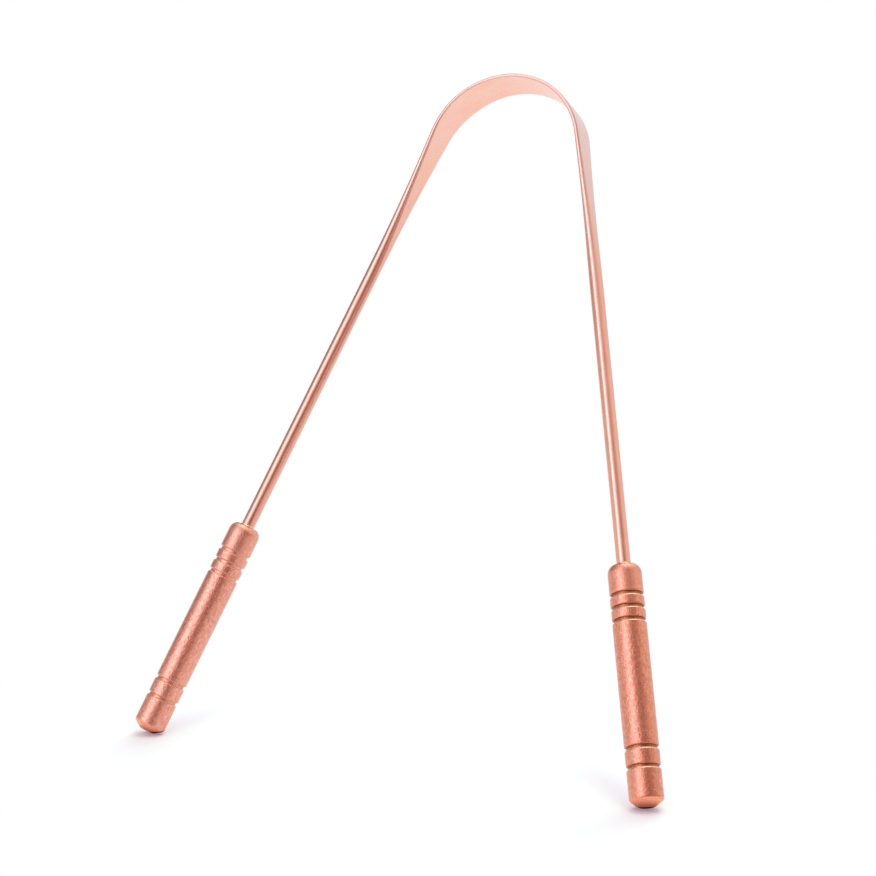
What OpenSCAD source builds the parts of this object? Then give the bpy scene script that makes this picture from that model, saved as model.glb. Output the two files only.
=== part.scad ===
// Two-handled copper tongue scraper.
// It stands in the XZ plane on the free ends of its handles, with the arch of the blade at the top.
// The origin lies midway between the handle ends, at the height on which they stand.

/* [Handles] */
// Diameter of the round bar that a handle is turned from
handle_d = 6.35; // [5.5:0.05:9]
// Length of a handle, from its free end to the mouth of its socket
handle_len = 45.1; // [38:0.1:60]
// How far the rounded shoulder comes in from the side, towards the mouth of the socket
shoulder_w = 1.45; // [0.5:0.05:1.5]
// Height of the rounded shoulder
shoulder_h = 1.75; // [0.5:0.05:2.5]
// Height of the bevel at the free end
end_bevel_h = 1.2; // [0.5:0.05:2]
// Diameter of the flat that the bevel leaves at the free end
end_flat_d = 2.9; // [1.5:0.05:5]
// Width of each turned groove
groove_w = 0.6; // [0.4:0.05:1]
// Depth of each turned groove
groove_depth = 0.35; // [0.15:0.05:0.5]
// Bevel that breaks both edges of a groove
groove_edge = 0.08; // [0.04:0.01:0.14]
// Length of the collar above the upper three grooves
collar_len = 5.6; // [4:0.1:8]
// Width of each ring between the upper three grooves
narrow_ring_w = 1.85; // [1.2:0.05:3]
// Width of the ring between the lower two grooves
wide_ring_w = 2.9; // [1.5:0.05:5]
// Length of the tip below the lower two grooves
tip_len = 6.8; // [4:0.1:10]

/* [Bow] */
// Diameter of the round rod that the bow is bent from
rod_d = 2.65; // [2:0.05:3]
// Lean of each leg from the middle line
leg_angle = 16.2; // [8:0.1:24]
// Length of a straight leg, from the handle's free end to the start of the arch
leg_len = 134; // [115:1:160]
// Radius of the arch, on the middle of the rod
arch_r = 16.4; // [12:0.2:24]
// Width of the blade at the top of the arch
blade_w = 8.6; // [6:0.1:13]
// Thickness of the blade at the top of the arch
blade_t = 0.75; // [0.6:0.05:1.2]
// Length over the top of the arch that has the full blade width
blade_run = 20; // [8:0.5:30]
// Length on each side over which the round rod is rolled out into the blade
rolled_run = 46; // [30:1:60]

/* [Brazed sockets] */
// Depth of the socket drilled in each handle
socket_depth = 14; // [8:0.5:25]
// Clearance between the rod and the wall of its socket, filled by the braze
braze_gap = 0.1; // [0.05:0.01:0.15]
// Clearance between the rod's end and the bottom of its socket, filled by the braze
braze_pool = 0.3; // [0.1:0.05:0.6]
// Size of the fillet of braze at the mouth of a socket
braze_fillet = 0.3; // [0.1:0.02:0.4]

/* [Hidden] */
$fn = 96;

// Radii and places that follow from the sizes above
handle_r = handle_d / 2;
rod_r = rod_d / 2;
socket_r = rod_r + braze_gap;
end_flat_r = end_flat_d / 2;
shoulder = min(shoulder_w, handle_r - socket_r - braze_fillet);
socket_z = handle_len - socket_depth;
rod_end_z = socket_z + braze_pool;
foot_x = arch_r * cos(leg_angle) + leg_len * sin(leg_angle);
foot_z = max(
    end_flat_r * sin(leg_angle),
    handle_r * sin(leg_angle) - end_bevel_h * cos(leg_angle)
);
arch_z = foot_z + leg_len * cos(leg_angle) - arch_r * sin(leg_angle);

// The bow's run is measured from the top of the arch along the middle of the rod
arch_turn = 90 - leg_angle;
arch_half_run = arch_r * arch_turn * PI / 180;
round_from = blade_run / 2 + rolled_run;
leg_top_z = leg_len + arch_half_run - round_from;

// Half the point angle of the drill that makes the sockets
drill_half_angle = 59;
// How far the rolled blade reaches into each round leg, and its slightly smaller diameter there
lap = 1.5;
seam = 0.01;
lap_d = rod_d - 2 * seam;
// How far cuts run past the faces that they open
cut_over = 0.5;

// Number of flat steps in the shoulder, of rings along the blade and of points round each ring
shoulder_steps = 10;
bow_rings = 68;
ring_points = 28;

// Left is minus X and right is plus X
left = -1;
right = 1;

// Puts its children on a leg's axis, with Z running from the handle's free end towards the arch
module on_leg(side) {
    translate([side * foot_x, 0, foot_z])
        rotate([0, -side * leg_angle, 0])
            children();
}

// Middle heights of the grooves above the handle's free end, the lower two first
groove_pitch_low = wide_ring_w + groove_w;
groove_pitch_high = narrow_ring_w + groove_w;
groove_heights = concat(
    [for (i = [0:1]) tip_len + groove_w / 2 + i * groove_pitch_low],
    [for (i = [2:-1:0]) handle_len - collar_len - groove_w / 2 - i * groove_pitch_high]
);

// One groove in the handle's outline, from its lower edge to its upper edge
function groove_outline(z) = [
    [handle_r, z - groove_w / 2 - groove_edge],
    [handle_r - groove_edge, z - groove_w / 2],
    [handle_r - groove_depth, z - groove_w / 2],
    [handle_r - groove_depth, z + groove_w / 2],
    [handle_r - groove_edge, z + groove_w / 2],
    [handle_r, z + groove_w / 2 + groove_edge]
];

// The rounded shoulder in the handle's outline, from the side to the flat top
function shoulder_outline() = [
    for (i = [0:shoulder_steps])
        let (turn = 90 * i / shoulder_steps)
            [handle_r - shoulder * (1 - cos(turn)), handle_len - shoulder_h * (1 - sin(turn))]
];

// One handle: a turned solid bar with a drilled blind socket for the rod
module handle(side) {
    outline = concat(
        [[0, 0], [end_flat_r, 0], [handle_r, end_bevel_h]],
        [for (z = groove_heights) each groove_outline(z)],
        shoulder_outline(),
        [[0, handle_len]]
    );
    color("#d98a6c")
        on_leg(side)
            difference() {
                rotate_extrude() polygon(outline);
                translate([0, 0, socket_z]) cylinder(r = socket_r, h = socket_depth + cut_over);
                drill_point();
            }
}

// The cone that the drill leaves at the bottom of a socket
module drill_point() {
    point_h = socket_r / tan(drill_half_angle);
    translate([0, 0, socket_z - point_h]) cylinder(r1 = 0, r2 = socket_r, h = point_h);
}

module left_handle() { handle(left); }
module right_handle() { handle(right); }

// The braze that holds one rod end: a cup round the rod, with a fillet at the socket's mouth
module braze(side) {
    color("#e9c39a")
        on_leg(side)
            rotate_extrude()
                polygon([
                    [0, socket_z],
                    [socket_r, socket_z],
                    [socket_r, handle_len],
                    [socket_r + braze_fillet, handle_len],
                    [rod_r, handle_len + braze_fillet],
                    [rod_r, rod_end_z],
                    [0, rod_end_z]
                ]);
}

module left_braze() { braze(left); }
module right_braze() { braze(right); }

// Angle from the top of the arch that a run u along the rod has turned through
function turned(u) = max(-arch_turn, min(arch_turn, u / arch_r * 180 / PI));

// How far a run u has gone down a straight leg, past the end of the arch
function down_leg(u) = max(0, abs(u) - arch_half_run);

// Point on the middle of the rod at a run u, and the direction that faces out of the arch there
function bow_point(u) = [
    arch_r * sin(turned(u)) + sign(u) * down_leg(u) * sin(leg_angle),
    0,
    arch_z + arch_r * cos(turned(u)) - down_leg(u) * cos(leg_angle)
];
function bow_outward(u) = [sin(turned(u)), 0, cos(turned(u))];

// Share to which the rod is rolled flat at a run u: 1 over the blade and 0 on the round legs
function rolled_share(u) =
    let (k = max(0, min(1, (abs(u) - blade_run / 2) / rolled_run)))
        1 - k * k * (3 - 2 * k);

// Width and thickness of a ring: as rolling spreads the metal, one grows while the other shrinks
function ring_width(rolled) = lap_d * pow(blade_w / lap_d, rolled);
function ring_thickness(rolled) = lap_d * pow(blade_t / lap_d, rolled);

// One ring of points round the rod at a run u: two flat faces between half-round edges
function bow_ring(u) =
    let (
        edge_r = ring_thickness(rolled_share(u)) / 2,
        flat_half = ring_width(rolled_share(u)) / 2 - edge_r
    )
    [
        for (i = [0:ring_points - 1])
            let (
                turn = 360 * (i + 0.5) / ring_points,
                across = edge_r * cos(turn) + sign(cos(turn)) * flat_half
            )
            bow_point(u) + [0, across, 0] + edge_r * sin(turn) * bow_outward(u)
    ];

// The blade and both rolled runs: rings of points joined by triangles, closed at both ends
module rolled_blade() {
    reach = round_from + lap;
    rings = [for (i = [0:bow_rings - 1]) bow_ring(-reach + 2 * reach * i / (bow_rings - 1))];
    walls = [
        for (i = [0:bow_rings - 2], j = [0:ring_points - 1])
            let (
                a = i * ring_points + j,
                b = i * ring_points + (j + 1) % ring_points,
                c = a + ring_points,
                d = b + ring_points
            )
            each [[a, d, b], [a, c, d]]
    ];
    last = (bow_rings - 1) * ring_points;
    caps = [
        for (j = [1:ring_points - 2])
            each [[0, j, j + 1], [last, last + j + 1, last + j]]
    ];
    polyhedron(points = [for (ring = rings) each ring], faces = concat(walls, caps));
}

// The bow: one rod with two round straight legs and an arch rolled flat into the scraping blade
module scraping_bow() {
    color("#e8a98c") {
        rolled_blade();
        for (side = [left, right])
            on_leg(side)
                translate([0, 0, rod_end_z]) cylinder(r = rod_r, h = leg_top_z - rod_end_z);
    }
}

scraping_bow();
left_handle();
right_handle();
left_braze();
right_braze();
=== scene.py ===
"""Looks of the two-handled copper tongue scraper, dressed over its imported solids.

The scraper stands in the XZ plane on the free ends of its handles. Lengths are in metres.
"""
import math

import bpy
import numpy as np
from mathutils import Matrix, Vector


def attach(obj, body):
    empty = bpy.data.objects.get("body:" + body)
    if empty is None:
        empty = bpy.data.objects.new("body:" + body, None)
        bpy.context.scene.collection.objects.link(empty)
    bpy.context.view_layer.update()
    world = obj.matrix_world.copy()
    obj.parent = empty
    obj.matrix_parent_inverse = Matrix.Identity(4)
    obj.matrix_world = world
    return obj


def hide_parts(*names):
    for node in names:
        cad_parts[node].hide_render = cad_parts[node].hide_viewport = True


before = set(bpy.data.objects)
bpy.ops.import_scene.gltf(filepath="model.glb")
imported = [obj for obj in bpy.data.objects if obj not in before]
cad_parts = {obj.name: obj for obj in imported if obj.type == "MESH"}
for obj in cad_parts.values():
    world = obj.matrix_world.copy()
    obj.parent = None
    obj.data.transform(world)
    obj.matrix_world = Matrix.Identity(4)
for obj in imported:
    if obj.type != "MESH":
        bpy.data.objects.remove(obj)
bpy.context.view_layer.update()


# The bow
# One round copper rod, bent cold into a tall arch. Both legs stay round and polished, and the arch
# is rolled flat between steel rolls into the scraping blade, whose long rims stay half-round.
rod_d = 0.00265
leg_angle = math.radians(16.2)
leg_len = 0.134
arch_r = 0.0164
blade_w = 0.0086
blade_t = 0.00075
blade_run = 0.020
rolled_run = 0.046
# The handle's sizes that say where the legs stand and where the rod ends
handle_len = 0.0451
end_flat_r = 0.00145
socket_depth = 0.014
braze_pool = 0.0003

rod_r = rod_d / 2
foot_x = arch_r * math.cos(leg_angle) + leg_len * math.sin(leg_angle)
foot_z = end_flat_r * math.sin(leg_angle)
arch_z = foot_z + leg_len * math.cos(leg_angle) - arch_r * math.sin(leg_angle)
arch_turn = math.pi / 2 - leg_angle
arch_half_run = arch_r * arch_turn
round_from = blade_run / 2 + rolled_run
socket_z = handle_len - socket_depth
rod_end = socket_z + braze_pool
half_run = leg_len - rod_end + arch_half_run

# Rings along each round leg and over the rolled part, points on each rim and on each flat of a
# ring, and the cosine round the ring at which a flat meets a rim
leg_rings = 60
rolled_rings = 421
rim_points = 24
flat_points = 9
flat_cos = 0.16
# Materials read the places on a piece in millimetres
to_mm = 1000


def rod_middle(run):
    """Points on the middle of the rod, and the directions that face out of the arch there.

    A run is measured from the top of the arch. The point goes round the arch's circle by
    run / radius, and what is left of the run past the arch's end goes straight down the leg.
    """
    turned = np.clip(run / arch_r, -arch_turn, arch_turn)
    down = np.maximum(0, np.abs(run) - arch_half_run)
    zero = np.zeros_like(run)
    middle = np.stack([
        arch_r * np.sin(turned) + np.sign(run) * down * math.sin(leg_angle),
        zero,
        arch_z + arch_r * np.cos(turned) - down * math.cos(leg_angle)], axis=-1)
    outward = np.stack([np.sin(turned), zero, np.cos(turned)], axis=-1)
    return middle, outward


def rolled_share(run):
    """How far the rod is rolled out: 1 over the blade, then a smooth cubic step to 0 on a leg."""
    k = np.clip((np.abs(run) - blade_run / 2) / rolled_run, 0, 1)
    return 1 - k * k * (3 - 2 * k)


def section_turns():
    """Angles round the rod's section: many on both rims, and a few close together on both flats.

    A flat holds the angles whose cosine is under flat_cos, and a rim holds the others.
    """
    edge = math.acos(flat_cos)
    rim = np.linspace(-edge, edge, rim_points, endpoint=False)
    flat = np.linspace(edge, math.pi - edge, flat_points, endpoint=False)
    return np.concatenate([rim, flat, rim + math.pi, flat + math.pi])


def put_attribute(mesh, name, kind, values):
    """Stores one value or vector for each point of the mesh, for its material to read."""
    attribute = mesh.attributes.new(name, kind, "POINT")
    field = "vector" if kind == "FLOAT_VECTOR" else "value"
    attribute.data.foreach_set(field, np.ascontiguousarray(values, np.float32).ravel())


def closed_skin(name, rings, first_pole, last_pole):
    """A closed mesh over a grid of points: rings joined by four-sided faces, a fan at each pole.

    rings holds places as [ring, point, xyz]. The points of a ring run anticlockwise, seen from the
    last pole.
    """
    count, around = rings.shape[:2]
    points = np.concatenate([[first_pole], rings.reshape(-1, 3), [last_pole]])
    here = 1 + np.arange(count * around).reshape(count, around)
    beside = np.roll(here, -1, axis=1)
    walls = np.stack([here[:-1], beside[:-1], beside[1:], here[1:]], axis=-1).reshape(-1, 4)
    first_fan = np.stack([np.zeros(around, int), beside[0], here[0]], axis=-1)
    last_fan = np.stack([np.full(around, len(points) - 1), here[-1], beside[-1]], axis=-1)
    mesh = bpy.data.meshes.new(name)
    mesh.from_pydata(points.tolist(), [], walls.tolist() + first_fan.tolist() + last_fan.tolist())
    mesh.polygons.foreach_set("use_smooth", np.ones(len(mesh.polygons), bool))
    mesh.update()
    piece = bpy.data.objects.new(name, mesh)
    bpy.context.scene.collection.objects.link(piece)
    return piece


leg_runs = np.linspace(-half_run, -round_from, leg_rings, endpoint=False)
worked_runs = np.linspace(-round_from, round_from, rolled_rings)
runs = np.concatenate([leg_runs, worked_runs, -leg_runs[::-1]])
turns = section_turns()
middle, outward = rod_middle(runs)
rolled = rolled_share(runs)
width = rod_d * (blade_w / rod_d) ** rolled
thickness = rod_d * (blade_t / rod_d) ** rolled
# Across the rod a point lies at rim radius x cosine, moved out by half the flat's width. The move
# fades in from the flat's middle as 1 - (1 - |cosine| / flat_cos) squared, so that the flat meets
# the rim smoothly
spread = 1 - (1 - np.minimum(1, np.abs(np.cos(turns)) / flat_cos)) ** 2
across = (thickness[:, None] / 2 * np.cos(turns)
          + (width - thickness)[:, None] / 2 * np.sign(np.cos(turns)) * spread)
out = thickness[:, None] / 2 * np.sin(turns)
rings = (middle[:, None] + across[..., None] * np.array([0, -1, 0])
         + out[..., None] * outward[:, None])
bow = closed_skin("bow", rings, middle[0], middle[-1])

run_grid = np.broadcast_to(runs[:, None], across.shape)
place = np.stack([across, out, run_grid], axis=-1).reshape(-1, 3) * to_mm
ends = np.array([[0, 0, runs[0] * to_mm], [0, 0, runs[-1] * to_mm]])
put_attribute(bow.data, "rod_place", "FLOAT_VECTOR", np.concatenate([ends[:1], place, ends[1:]]))
# A rim fades in over cosines from 0.2 to 0.6, and its outer edge over sines from 1/3 to 2/3
on_rims = np.clip(2.5 * np.abs(np.cos(turns)) - 0.5, 0, 1)
on_edges = on_rims * np.clip(3 * np.sin(turns) - 1, 0, 1)
for name, share in (("rolled", rolled[:, None]), ("rim", rolled[:, None] * on_rims),
                    ("outer_edge", rolled[:, None] * on_edges)):
    share_grid = np.broadcast_to(share, across.shape).ravel()
    put_attribute(bow.data, name, "FLOAT", np.concatenate([[0], share_grid, [0]]))


class Recipe:
    """A node material under construction: add() makes a node, sets its sockets and links inputs."""

    def __init__(self, name):
        self.material = bpy.data.materials.new(name)
        self.material.use_nodes = True
        self.tree = self.material.node_tree
        self.tree.nodes.clear()

    def add(self, kind, options=None, **inputs):
        """An input is named by its socket, with _ for a space, or by its number, as i0 or i1."""
        node = self.tree.nodes.new("ShaderNode" + kind)
        for option, value in (options or {}).items():
            setattr(node, option, value)
        for key, value in inputs.items():
            socket = node.inputs[int(key[1:])] if key[0] == "i" and key[1:].isdigit() else (
                node.inputs[key.replace("_", " ")])
            if isinstance(value, bpy.types.NodeSocket):
                self.tree.links.new(value, socket)
            else:
                socket.default_value = value
        return node

    def attribute(self, name, output):
        return self.add("Attribute", {"attribute_name": name}).outputs[output]

    def noise(self, place, fineness, detail, roughness, scale=1.0):
        """Noise over a place, with its own fineness along each axis."""
        vector = self.add("Mapping", Vector=place, Scale=fineness).outputs["Vector"]
        node = self.add("TexNoise", Vector=vector, Scale=scale, Detail=detail, Roughness=roughness)
        return node.outputs["Fac"]

    def ramp(self, value, low, high, at_low=0.0, at_high=1.0):
        """A straight run from at_low to at_high while the value goes from low to high."""
        node = self.add("MapRange", {"clamp": True}, Value=value, From_Min=low, From_Max=high,
                        To_Min=at_low, To_Max=at_high)
        return node.outputs["Result"]

    def sum(self, *values):
        total = values[0]
        for value in values[1:]:
            total = self.add("Math", {"operation": "ADD"}, i0=total, i1=value).outputs[0]
        return total

    def product(self, a, b):
        return self.add("Math", {"operation": "MULTIPLY"}, i0=a, i1=b).outputs[0]

    def blend(self, share, first, second):
        node = self.add("Mix", {"data_type": "RGBA"}, i0=share, i6=first, i7=second)
        return node.outputs[2]

    def bump(self, height, strength, distance, normal=None):
        inputs = {"Height": height, "Strength": strength, "Distance": distance}
        if normal is not None:
            inputs["Normal"] = normal
        return self.add("Bump", **inputs).outputs["Normal"]

    def finish(self, **inputs):
        shader = self.add("BsdfPrincipled", **inputs)
        output = self.add("OutputMaterial")
        self.tree.links.new(shader.outputs[0], output.inputs["Surface"])
        return self.material


# Colours of the blade's flats, of the round legs and of the blade's rims. The flats are a lighter
# copy of the legs' copper, which paints in the reflection of bright surroundings
blade_rosy = (0.95, 0.575, 0.475, 1)
blade_golden = (0.96, 0.53, 0.40, 1)
blade_cool = (0.92, 0.60, 0.52, 1)
blade_scratch = (0.88, 0.47, 0.37, 1)
leg_pale = (0.86, 0.45, 0.36, 1)
leg_deep = (0.79, 0.37, 0.275, 1)
rim_satin = (0.84, 0.50, 0.43, 1)
rim_painted_shade = (0.36, 0.24, 0.21, 1)
# Roughness of the legs and of the blade, and what a rim adds to it
leg_rough, blade_rough, rim_rough = 0.31, 0.29, 0.13

rod = Recipe("copper_rod")
where = rod.attribute("rod_place", "Vector")
worked = rod.attribute("rolled", "Fac")
on_rim = rod.attribute("rim", "Fac")
draw_lines = rod.noise(where, (9.0, 9.0, 0.25), detail=3.0, roughness=0.6)
warm_patches = rod.noise(where, (0.22, 0.22, 0.12), detail=2.0, roughness=0.5)
cool_patches = rod.noise(where, (0.3, 0.3, 0.16), detail=1.0, roughness=0.5, scale=1.3)
scuffs = rod.noise(where, (3.0, 3.0, 0.9), detail=4.0, roughness=0.65)
# The blade's colours are lighter than the legs': a painted reflection of bright surroundings
warm = rod.blend(rod.ramp(warm_patches, 0.42, 0.62), blade_rosy, blade_golden)
cool = rod.blend(rod.ramp(cool_patches, 0.5, 0.68), warm, blade_cool)
blade_colour = rod.blend(rod.ramp(draw_lines, 0.35, 0.7, 0.0, 0.2), cool, blade_scratch)
leg_colour = rod.blend(rod.ramp(draw_lines, 0.35, 0.65), leg_pale, leg_deep)
flat_colour = rod.blend(worked, leg_colour, blade_colour)
# Painted shade: each rim is darker along its outer edge
rim_colour = rod.blend(rod.attribute("outer_edge", "Fac"), rim_satin, rim_painted_shade)
colour = rod.blend(on_rim, flat_colour, rim_colour)
roughness = rod.sum(rod.ramp(worked, 0.0, 1.0, leg_rough, blade_rough),
                    rod.ramp(scuffs, 0.3, 0.7, -0.03, 0.04),
                    rod.product(on_rim, rim_rough))
grain = rod.bump(draw_lines, rod.ramp(worked, 0.0, 1.0, 0.3, 0.1), distance=0.00002)
waves = rod.bump(warm_patches, 0.3, 0.0003, normal=grain)
bow.data.materials.append(rod.finish(
    Base_Color=colour, Metallic=1.0, Roughness=roughness, Normal=waves, Coat_Weight=0.3,
    Coat_Roughness=0.25))
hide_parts("scraping_bow")
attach(bow, "root")


# The handles
# Two solid copper bars, each turned in a lathe: five square grooves cut with a narrow tool, a
# rounded shoulder, a bevel at the free end and a blind hole for the rod. Their finish is satin and
# tumbled.
handle_d = 0.00635
shoulder_w = 0.00145
shoulder_h = 0.00175
end_bevel_h = 0.0012
groove_w = 0.0006
groove_depth = 0.00035
collar_len = 0.0056
narrow_ring_w = 0.00185
wide_ring_w = 0.0029
tip_len = 0.0068
braze_gap = 0.0001
drill_half_angle = math.radians(59)

handle_r = handle_d / 2
socket_r = rod_r + braze_gap
drill_point = socket_r / math.tan(drill_half_angle)
low_pitch = wide_ring_w + groove_w
high_pitch = narrow_ring_w + groove_w
top_groove = handle_len - collar_len - groove_w / 2
groove_heights = [tip_len + groove_w / 2, tip_len + groove_w / 2 + low_pitch,
                  top_groove - 2 * high_pitch, top_groove - high_pitch, top_groove]

# Radii of the arcs that break the turned edges
flat_edge_r = 0.0009
bevel_edge_r = 0.0008
groove_low_edge_r = 0.0003
groove_high_edge_r = 0.0002
groove_root_r = 0.00008
socket_mouth_r = 0.00004
socket_bottom_r = 0.0001
# Points on each arc, on the shoulder and round the bar
arc_points = 8
shoulder_points = 15
bar_points = 128


def rounded_outline(corners):
    """A turned outline: straight runs joined by small arcs.

    corners holds [radius, height, radius of the arc there], and a corner with 0 stays as it is. An
    arc touches both of its straight runs, so it starts radius / tan(half the corner's angle) before
    the corner and ends as far past it.
    """
    pieces = [np.array([corners[0][:2]])]
    for before, corner, after in zip(corners[:-2], corners[1:-1], corners[2:]):
        if corner[2] == 0:
            pieces.append(np.array([corner[:2]]))
            continue
        at = np.array(corner[:2])
        back = np.array(before[:2]) - at
        ahead = np.array(after[:2]) - at
        back, ahead = back / np.hypot(*back), ahead / np.hypot(*ahead)
        half = math.acos(np.clip(back @ ahead, -1, 1)) / 2
        reach = corner[2] / math.tan(half)
        centre = at + (back + ahead) / np.hypot(*(back + ahead)) * corner[2] / math.sin(half)
        start, end = at + back * reach - centre, at + ahead * reach - centre
        share = np.linspace(0, 1, arc_points)[:, None]
        sweep = math.pi - 2 * half
        arc = (np.sin((1 - share) * sweep) * start + np.sin(share * sweep) * end) / math.sin(sweep)
        pieces.append(centre + arc)
    pieces.append(np.array([corners[-1][:2]]))
    return np.concatenate(pieces)


def with_support(outline, close, far):
    """Adds points on long straight runs: one close to each end, and the rest about far apart."""
    step = np.diff(outline, axis=0)
    length = np.hypot(*step.T)
    pieces = []
    for start, move, size in zip(outline[:-1], step, length):
        inner = [0.0]
        if size > 3 * close:
            inner += list(np.linspace(close, size - close, max(2, int(size / far) + 1)) / size)
        pieces.append(start + np.array(inner)[:, None] * move)
    return np.concatenate(pieces + [outline[-1:]])


def lathe(name, side, outline, around):
    """A closed turned piece on one leg's axis: the outline swept round by equal angles.

    The outline starts and ends on the axis. The turned point (r cos, r sin, height) is then laid on
    the leg, whose lower end is the handle's free end.
    """
    angle = np.linspace(0, 2 * math.pi, around, endpoint=False)
    ring_r, ring_z = outline[1:-1].T
    local = np.stack([ring_r[:, None] * np.cos(angle), ring_r[:, None] * np.sin(angle),
                      np.broadcast_to(ring_z[:, None], (len(ring_z), around))], axis=-1)
    poles = np.array([[0, 0, outline[0][1]], [0, 0, outline[-1][1]]])
    lay = np.array([[math.cos(leg_angle), 0, -side * math.sin(leg_angle)],
                    [0, 1, 0],
                    [side * math.sin(leg_angle), 0, math.cos(leg_angle)]])
    foot = np.array([side * foot_x, 0, foot_z])
    first_pole, last_pole = poles @ lay.T + foot
    piece = closed_skin(name, local @ lay.T + foot, first_pole, last_pole)
    flat_local = np.concatenate([poles[:1], local.reshape(-1, 3), poles[1:]])
    put_attribute(piece.data, "bar_place", "FLOAT_VECTOR", flat_local * to_mm)
    return piece


def groove_corners(height):
    """The four corners of a groove, from its lower edge to its upper edge."""
    low, high = height - groove_w / 2, height + groove_w / 2
    root = handle_r - groove_depth
    return [[handle_r, low, groove_low_edge_r], [root, low, groove_root_r],
            [root, high, groove_root_r], [handle_r, high, groove_high_edge_r]]


handle_outline = [[0, 0, 0], [end_flat_r, 0, flat_edge_r], [handle_r, end_bevel_h, bevel_edge_r]]
for height in groove_heights:
    handle_outline += groove_corners(height)
# The shoulder is a quarter of an ellipse
quarter = np.linspace(0, math.pi / 2, shoulder_points)
handle_outline += np.stack([handle_r - shoulder_w * (1 - np.cos(quarter)),
                            handle_len - shoulder_h * (1 - np.sin(quarter)),
                            0 * quarter], axis=-1).tolist()
handle_outline += [[socket_r, handle_len, socket_mouth_r], [socket_r, socket_z, socket_bottom_r],
                   [0, socket_z - drill_point, 0]]
bar_outline = with_support(rounded_outline(handle_outline), close=0.00004, far=0.0006)

# Colours of the bars: tumbled copper in two tones, wear, tarnish and painted shade in the grooves,
# painted highlights on the groove lips, and painted reflection and painted shade on the foot
rosy_pale = (0.90, 0.43, 0.33, 1)
rosy_deep = (0.69, 0.255, 0.18, 1)
tan_pale = (0.83, 0.35, 0.245, 1)
tan_deep = (0.62, 0.21, 0.135, 1)
stain_orange = (0.77, 0.29, 0.18, 1)
scuff_pale = (0.84, 0.40, 0.29, 1)
tarnish_and_shade_thin = (0.66, 0.26, 0.17, 1)
tarnish_and_shade_thick = (0.30, 0.075, 0.022, 1)
lip_painted_highlight = (1.0, 0.7, 0.5, 1)
bevel_painted_reflection = (0.96, 0.36, 0.21, 1)
end_painted_shade = (0.5, 0.16, 0.08, 1)
foot_painted_shade = (0.06, 0.004, 0.004, 1)
# Millimetres above the free end over which the collar's scuffs, the bevel's painted reflection, its
# painted shade towards the flat and the coat over the metal fade in
scuffs_from, scuffs_to = 36.0, 40.0
orange_from, orange_to = 1.6, 1.0
brown_from, brown_to = 0.8, 0.1
coat_from, coat_to = 0.9, 1.8

# The scraper leans back on a sloping sheet: the direction up from the sheet, and how far the sheet
# lies along it, so that it touches the rim of each end flat
lean = math.radians(25.63)
floor_up = Vector((0, -math.sin(lean), math.cos(lean)))
floor_drop = end_flat_r * (math.sin(leg_angle) * math.cos(lean)
                           - math.hypot(math.sin(leg_angle) * math.cos(lean), math.sin(lean)))
# Heights above the sheet over which painted shade darkens the foot, and the places in Y over
# which it does so towards the front
dark_from, dark_to = floor_drop + 0.00095, floor_drop + 0.0008
front_from, front_to = 0.0018, 0.0013

bar = Recipe("copper_bar")
where = bar.attribute("bar_place", "Vector")
in_groove = bar.attribute("groove", "Fac")
speckle = bar.noise(where, (2.2, 2.2, 1.3), detail=4.0, roughness=0.75)
brushed = bar.noise(where, (5.0, 5.0, 0.7), detail=3.0, roughness=0.7)
turning = bar.noise(where, (0.4, 0.4, 9.0), detail=3.0, roughness=0.7)
stain = bar.noise(where, (0.7, 0.7, 0.35), detail=3.0, roughness=0.6)
rosy = bar.blend(bar.ramp(speckle, 0.38, 0.62), rosy_pale, rosy_deep)
tan = bar.blend(bar.ramp(speckle, 0.38, 0.62), tan_pale, tan_deep)
base = bar.blend(bar.attribute("warmth", "Fac"), rosy, tan)
base = bar.blend(bar.ramp(stain, 0.45, 0.7, 0.0, 0.5), base, stain_orange)
# The collar is more scuffed than the barrel
up = bar.add("SeparateXYZ", i0=where).outputs[2]
scuffed = bar.ramp(up, scuffs_from, scuffs_to)
base = bar.blend(bar.product(scuffed, 0.25), base, scuff_pale)
# Tarnish and painted shade darken the grooves, most in their inner corners
base = bar.blend(bar.ramp(in_groove, 0.05, 0.4), base, tarnish_and_shade_thin)
base = bar.blend(bar.ramp(in_groove, 0.4, 0.8), base, tarnish_and_shade_thick)
# A painted highlight along the lower lip of each groove
base = bar.blend(bar.attribute("lip", "Fac"), base, lip_painted_highlight)
# The bevel carries a painted reflection, bright orange, that turns to painted brown shade towards
# the flat, and the front of the foot carries dark, dull painted shade where it nears the sheet
base = bar.blend(bar.ramp(up, orange_from, orange_to), base, bevel_painted_reflection)
base = bar.blend(bar.ramp(up, brown_from, brown_to), base, end_painted_shade)
spot = bar.add("TexCoord").outputs["Object"]
lift = bar.add("VectorMath", {"operation": "DOT_PRODUCT"}, i0=spot, i1=floor_up).outputs["Value"]
in_front = bar.ramp(bar.add("SeparateXYZ", i0=spot).outputs[1], front_from, front_to)
# Painted shade darkens the front of the foot near the sheet
dark = bar.product(bar.ramp(lift, dark_from, dark_to), in_front)
base = bar.blend(dark, base, foot_painted_shade)
roughness = bar.sum(bar.ramp(speckle, 0.3, 0.7, 0.21, 0.31), bar.ramp(stain, 0.3, 0.7, 0.0, 0.05),
                    bar.product(scuffed, 0.05), bar.product(dark, 0.6))
grain = bar.bump(speckle, 0.8, 0.0001)
streaks = bar.bump(brushed, 0.4, 0.00003, normal=grain)
lines = bar.bump(turning, 0.3, 0.00003, normal=streaks)
coat = bar.product(bar.ramp(in_groove, 0.05, 0.4, 0.25, 0.0), bar.ramp(up, coat_from, coat_to))
bar_material = bar.finish(Base_Color=base, Metallic=1.0, Roughness=roughness, Normal=lines,
                          Coat_Weight=coat, Coat_Roughness=0.3)
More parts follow.
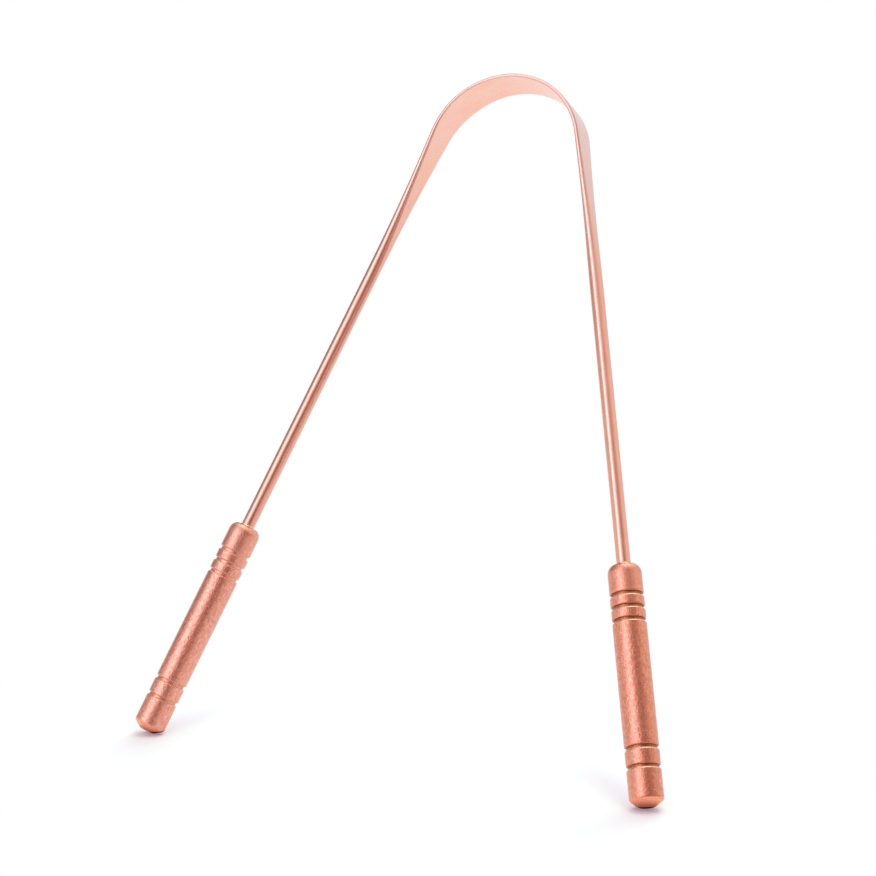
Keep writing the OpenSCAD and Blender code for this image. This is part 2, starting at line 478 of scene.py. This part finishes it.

# Tarnish and painted shade in the grooves grow with depth, and the painted shade is darkest in both
# inner corners. The right bar has more of it than the left one, whose upper grooves hold only a
# trace. The lower lip of each groove carries a painted highlight. A point belongs to a groove
# within groove_reach half widths of its middle
groove_reach = 1.6
lip_w = 0.00006
bar_r, bar_z = bar_outline.T
above = bar_z[:, None] - np.array(groove_heights)
nearest_groove = np.take_along_axis(above, np.abs(above).argmin(axis=1)[:, None], axis=1)[:, 0]
off_middle = np.abs(nearest_groove) / (groove_w / 2)
depth_share = np.clip((handle_r - bar_r) / groove_depth, 0, 1) * (off_middle < groove_reach)
# Where the painted highlight lies on each lower lip
lip = np.clip(3 - np.abs(nearest_groove + groove_w / 2 + lip_w) / lip_w, 0, 1)
left_dirt_and_shade = np.where(bar_z < handle_len / 2, 0.2, 0.0)
right_dirt_and_shade = 0.6
left_lip_highlight, right_lip_highlight = 0.4, 1.0
for name, side, dirt_and_shade, lip_highlight in (("left_bar", -1, left_dirt_and_shade, left_lip_highlight),
                              ("right_bar", 1, right_dirt_and_shade, right_lip_highlight)):
    handle = lathe(name, side, bar_outline, bar_points)
    # Tarnish, plus painted shade that deepens towards the inner corners
    tarnish_and_shade = depth_share * np.clip(dirt_and_shade + (0.2 + 0.5 * dirt_and_shade) * off_middle ** 3, 0, 1)
    warmth = np.full(len(bar_outline), float(side > 0))
    for share_name, share in (("groove", tarnish_and_shade), ("lip", lip_highlight * lip), ("warmth", warmth)):
        round_share = np.repeat(share[1:-1], bar_points)
        put_attribute(handle.data, share_name, "FLOAT",
                      np.concatenate([share[:1], round_share, share[-1:]]))
    handle.data.materials.append(bar_material)
    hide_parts("left_handle" if side < 0 else "right_handle")
    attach(handle, "root")


# The brazed joints
# Each rod end is held in its socket by filler that melted round it. Only a small bright fillet
# shows, where the filler crept out at the socket's mouth and froze in a hollow curve.
braze_fillet = 0.0003
fillet_points = 9
cup_points = 64
# How far under the socket's mouth an extra ring keeps the shading of the wall even
mouth_support = 0.0002
fillet_pale = (0.95, 0.66, 0.5, 1)
fillet_deep = (0.9, 0.55, 0.38, 1)

# The outline goes up the socket's wall, over the fillet, and down the rod to its end
bend = np.linspace(0, math.pi / 2, fillet_points)
fillet = np.stack([rod_r + braze_gap + braze_fillet - (braze_fillet + braze_gap) * np.sin(bend),
                   handle_len + braze_fillet - braze_fillet * np.cos(bend)], axis=-1)
cup_outline = np.concatenate([
    [[0, socket_z], [socket_r, socket_z],
     [socket_r, handle_len - mouth_support], [socket_r, handle_len]],
    fillet, [[rod_r, handle_len], [rod_r, rod_end], [0, rod_end]]])

filler = Recipe("braze_filler")
where = filler.attribute("bar_place", "Vector")
ripple = filler.noise(where, (2.5, 2.5, 2.5), detail=2.0, roughness=0.5)
shine = filler.blend(filler.ramp(ripple, 0.35, 0.65), fillet_pale, fillet_deep)
filler_material = filler.finish(
    Base_Color=shine, Metallic=1.0, Roughness=filler.ramp(ripple, 0.3, 0.7, 0.14, 0.26),
    Normal=filler.bump(ripple, 0.4, 0.00005))
for name, side in (("left_fillet", -1), ("right_fillet", 1)):
    cup = lathe(name, side, cup_outline, cup_points)
    cup.data.materials.append(filler_material)
    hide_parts("left_braze" if side < 0 else "right_braze")
    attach(cup, "root")


# The floor
# A plain white sheet of paper, glowing a little, under the free ends of both handles. It slopes
# across Y, because the scraper leans back on it, and it is see-through from below, so that it
# blocks no view from there.
half_sheet = 1.5
paper_white = (0.57, 0.60, 0.64, 1)
paper_glow = (0.29, 0.17, 0.2, 1)
# Distances from a foot up to which the sheet takes shadows, and from which it is plain white
shadow_r, white_r = 0.02, 0.05

floor_mesh = bpy.data.meshes.new("floor")
floor_mesh.from_pydata([(-half_sheet, -half_sheet, 0), (half_sheet, -half_sheet, 0),
                        (half_sheet, half_sheet, 0), (-half_sheet, half_sheet, 0)], [],
                       [(0, 1, 2, 3)])
floor = bpy.data.objects.new("floor", floor_mesh)
bpy.context.scene.collection.objects.link(floor)
floor_mesh.transform(Matrix.Translation(floor_up * floor_drop) @ Matrix.Rotation(lean, 4, "X"))
sheet = Recipe("white_sheet")
facing = sheet.add("NewGeometry").outputs["Backfacing"]
paper = sheet.add("BsdfDiffuse", Color=paper_white).outputs[0]
glow = sheet.add("Emission", Color=paper_glow, Strength=1.0).outputs[0]
matt = sheet.add("AddShader", i0=paper, i1=glow).outputs[0]
white = sheet.add("Emission", Color=(1, 1, 1, 1), Strength=1.0).outputs[0]
spot = sheet.add("TexCoord").outputs["Object"]
away = []
for side in (-1, 1):
    foot = (side * foot_x, 0, foot_z)
    gap = sheet.add("VectorMath", {"operation": "DISTANCE"}, i0=spot, i1=foot)
    away.append(gap.outputs["Value"])
nearest = sheet.add("Math", {"operation": "MINIMUM"}, i0=away[0], i1=away[1]).outputs[0]
faded = sheet.ramp(nearest, shadow_r, white_r)
lit = sheet.add("MixShader", i0=faded, i1=matt, i2=white).outputs[0]
clear = sheet.add("BsdfTransparent").outputs[0]
one_sided = sheet.add("MixShader", i0=facing, i1=lit, i2=clear).outputs[0]
sheet.tree.links.new(one_sided, sheet.add("OutputMaterial").inputs["Surface"])
floor_mesh.materials.append(sheet.material)


# The studio
# White surroundings, four soft boxes, and cards that give the bare metal its dark lines and its
# warm and cool reflections. The key box and the cards show only as reflections, and the other boxes
# only light the sheet.
middle_of_object = Vector((0, 0, 0.07))


def toward(azimuth, elevation):
    """The direction from the object to a place.

    The azimuth turns from -Y towards +X, and the elevation rises from level.
    """
    a, e = math.radians(azimuth), math.radians(elevation)
    return Vector((math.cos(e) * math.sin(a), -math.cos(e) * math.cos(a), math.sin(e)))


def soft_box(name, azimuth, elevation, distance, width, height, radiance, colour):
    """An area lamp that faces the object: its power is radiance x pi x area."""
    lamp = bpy.data.lights.new(name, "AREA")
    lamp.shape = "RECTANGLE"
    lamp.size, lamp.size_y = width, height
    lamp.energy = radiance * math.pi * width * height
    lamp.color = colour
    box = bpy.data.objects.new(name, lamp)
    bpy.context.scene.collection.objects.link(box)
    back = toward(azimuth, elevation)
    box.location = middle_of_object + back * distance
    box.rotation_euler = back.to_track_quat("Z", "Y").to_euler()
    box.visible_camera = False
    return box


def card(name, azimuth, elevation, distance, width, height, colour, top_colour=None,
         top_width=None, slant=0, soft=0.18, soft_up=0.18):
    """A coloured card that faces the object and shows only in reflections.

    Its colour and its width run from the bottom to the top, which lies aside by slant. It fades out
    over a soft share of its width and a soft_up share of its height.
    """
    card_mesh = bpy.data.meshes.new(name)
    w, t, h = width / 2, (top_width or width) / 2, height / 2
    card_mesh.from_pydata([(-w, -h, 0), (w, -h, 0), (t + slant, h, 0), (-t + slant, h, 0)], [],
                          [(0, 1, 2, 3)])
    card_mesh.uv_layers.new(name="UVMap").data.foreach_set("uv", [0, 0, 1, 0, 1, 1, 0, 1])
    board = bpy.data.objects.new(name, card_mesh)
    bpy.context.scene.collection.objects.link(board)
    back = toward(azimuth, elevation)
    card_mesh.transform(Matrix.Translation(middle_of_object + back * distance)
                        @ back.to_track_quat("Z", "Y").to_matrix().to_4x4())
    board.visible_camera = board.visible_diffuse = board.visible_shadow = False
    board.visible_transmission = False
    cloth = Recipe(name)
    u, v, _ = cloth.add("SeparateXYZ", i0=cloth.add("UVMap").outputs[0]).outputs
    aside = cloth.add("Math", {"operation": "ABSOLUTE"}, i0=cloth.sum(u, -0.5)).outputs[0]
    upward = cloth.add("Math", {"operation": "ABSOLUTE"}, i0=cloth.sum(v, -0.5)).outputs[0]
    fade = cloth.product(cloth.ramp(aside, 0.5 - soft, 0.5, 1.0, 0.0),
                         cloth.ramp(upward, 0.5 - soft_up, 0.5, 1.0, 0.0))
    dye = cloth.blend(v, colour + (1,), (top_colour or colour) + (1,))
    dyed = cloth.add("Emission", Color=dye, Strength=1.0).outputs[0]
    gone = cloth.add("BsdfTransparent").outputs[0]
    mixed = cloth.add("MixShader", i0=fade, i1=gone, i2=dyed).outputs[0]
    cloth.tree.links.new(mixed, cloth.add("OutputMaterial").inputs["Surface"])
    card_mesh.materials.append(cloth.material)


# Azimuth, elevation, distance, width, height, radiance and colour of each box
soft_box("key_box", -21, 10, 2.0, 0.76, 1.3, 2.3, (1.0, 0.96, 1.2)).visible_diffuse = False
soft_box("front_box", 27, 61, 1.0, 0.25, 0.25, 13.1, (0.63, 1.0, 0.65)).visible_glossy = False
soft_box("back_box", 180, 60, 1.0, 0.5, 0.5, 6.3, (0.6, 1.0, 0.75)).visible_glossy = False
soft_box("left_box", 224, 57, 1.0, 0.35, 0.35, 3.7, (0.54, 1.0, 0.95)).visible_glossy = False
# Azimuth, elevation, distance, width, height and colour of each card
card("brown_card", 33, -2, 0.9, 1.02, 1.5, (0.22, 0.03, 0.0), top_colour=(0.28, 0.12, 0.065),
     top_width=1.33, slant=0.36, soft=0.2, soft_up=0.2)
card("mat_card", 24, -35, 0.25, 0.2, 0.1, (0.15, 0.03, 0.01), soft=0.2, soft_up=0.2)
card("tan_card", 50, -5, 0.3, 0.14, 0.13, (0.85, 0.55, 0.43), soft=0.25)
card("low_card", 93, -6, 0.307, 0.19, 0.15, (0.03, 0.015, 0.01), soft=0.15, soft_up=0.12)
card("edge_card", -46, 12, 0.88, 0.24, 0.34, (0.1, 0.1, 0.1), soft=0.4, soft_up=0.2)
card("side_card", -85, 27, 0.9, 1.05, 0.75, (0.33, 0.285, 0.265), soft=0.2, soft_up=0.12)
card("back_card", -140, 42, 0.9, 0.55, 0.85, (0.24, 0.20, 0.18))
card("grey_card", 175, 30, 0.95, 1.2, 0.8, (0.82, 0.92, 0.98), soft=0.15, soft_up=0.15)
card("warm_card", 98, 27, 0.9, 0.7, 0.4, (1.15, 1.0, 0.8), soft=0.25, soft_up=0.25)
card("sky_card", 0, 87, 0.9, 0.75, 0.65, (3.2, 3.0, 2.7), soft=0.15, soft_up=0.15)

world = bpy.data.worlds.new("white_studio")
bpy.context.scene.world = world
world.use_nodes = True
backdrop = world.node_tree.nodes["Background"]
backdrop.inputs["Color"].default_value = (1, 1, 1, 1)
backdrop.inputs["Strength"].default_value = 1.0


# The camera
# A long lens in front of the scraper and to its right, low down, so that it looks up along the
# slope. Its focal length is known in pixels of a frame 876 pixels wide.
eye = Vector((0.192113, -0.382816, -0.039574))
right = Vector((0.895022, 0.402150, 0.192903))
down = Vector((0.071715, 0.297117, -0.952144))
forward = Vector((-0.440219, 0.866024, 0.237086))
lens_px, frame_px = 2260.6, 876
sensor_mm = 36

camera_data = bpy.data.cameras.new("camera")
camera_data.sensor_width = sensor_mm
camera_data.lens = lens_px * sensor_mm / frame_px
camera_data.clip_start, camera_data.clip_end = 0.01, 20
camera = bpy.data.objects.new("camera", camera_data)
bpy.context.scene.collection.objects.link(camera)
turn = Matrix((right, -down, -forward)).transposed().to_4x4()
camera.matrix_world = Matrix.Translation(eye) @ turn
bpy.context.scene.camera = camera
bpy.context.scene.view_settings.view_transform = "Standard"
